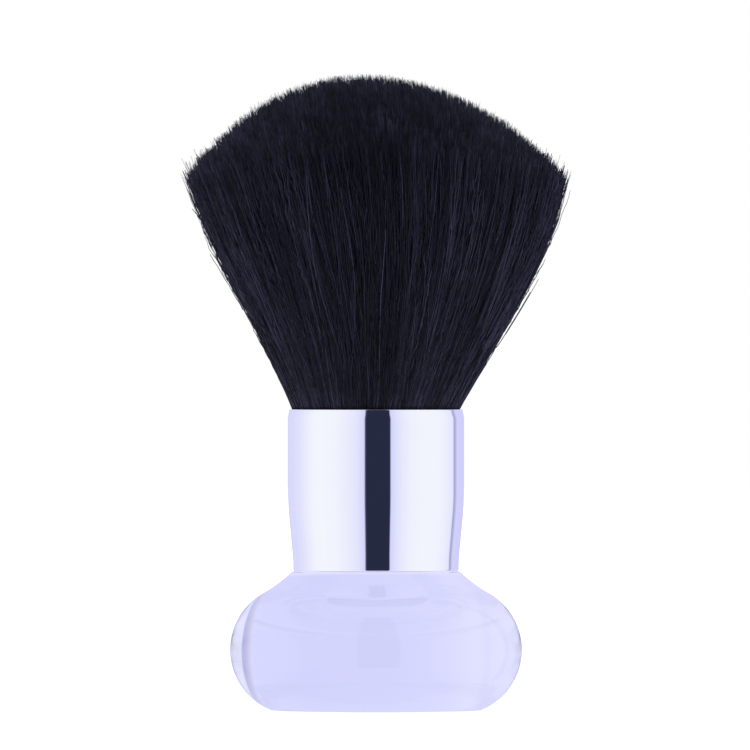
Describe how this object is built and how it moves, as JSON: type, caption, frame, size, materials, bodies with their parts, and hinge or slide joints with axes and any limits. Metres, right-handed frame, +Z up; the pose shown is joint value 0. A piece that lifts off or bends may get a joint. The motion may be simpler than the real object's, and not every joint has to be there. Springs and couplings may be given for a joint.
{
  "type": "neck duster brush",
  "caption": "Short neck duster brush: a domed head of soft black bristles flares from a mirror-polished ferrule on a clear rounded base that fills the palm and stands flat.",
  "frame": {"origin": "centre of the base's foot, on the surface the brush stands on", "axes": "+Z up the brush's axis to the top of the bristle dome, X across the wide way of the bristle head, Y through it from front to back"},
  "size_m": [0.0742, 0.065, 0.125],
  "materials": {
    "clear_acrylic": "gloss",
    "polished_metal": "polished",
    "sleeve_plastic": "satin",
    "cured_glue": "gloss",
    "setting_resin": "gloss",
    "band_metal": "satin",
    "bristle_fibre": "satin"
  },
  "bodies": {
    "handle": {"clear_base": "clear_acrylic", "ferrule": "polished_metal", "inner_sleeve": "sleeve_plastic", "spigot_glue": "cured_glue", "root_resin": "setting_resin", "root_band": "band_metal", "bristle_root": "bristle_fibre", "bristle_waist": "bristle_fibre"},
    "bristles": {"bristle_head": "bristle_fibre"}
  },
  "joints": [
    {"name": "bristle_sway", "type": "hinge", "parent": "handle", "child": "bristles", "pos_m": [0, 0, 0.062], "axis": [0, 1, 0], "range_deg": [-20, 20], "stiffness_Nm_per_rad": 0.25, "deforming": ["bristle_waist"]}
  ]
}
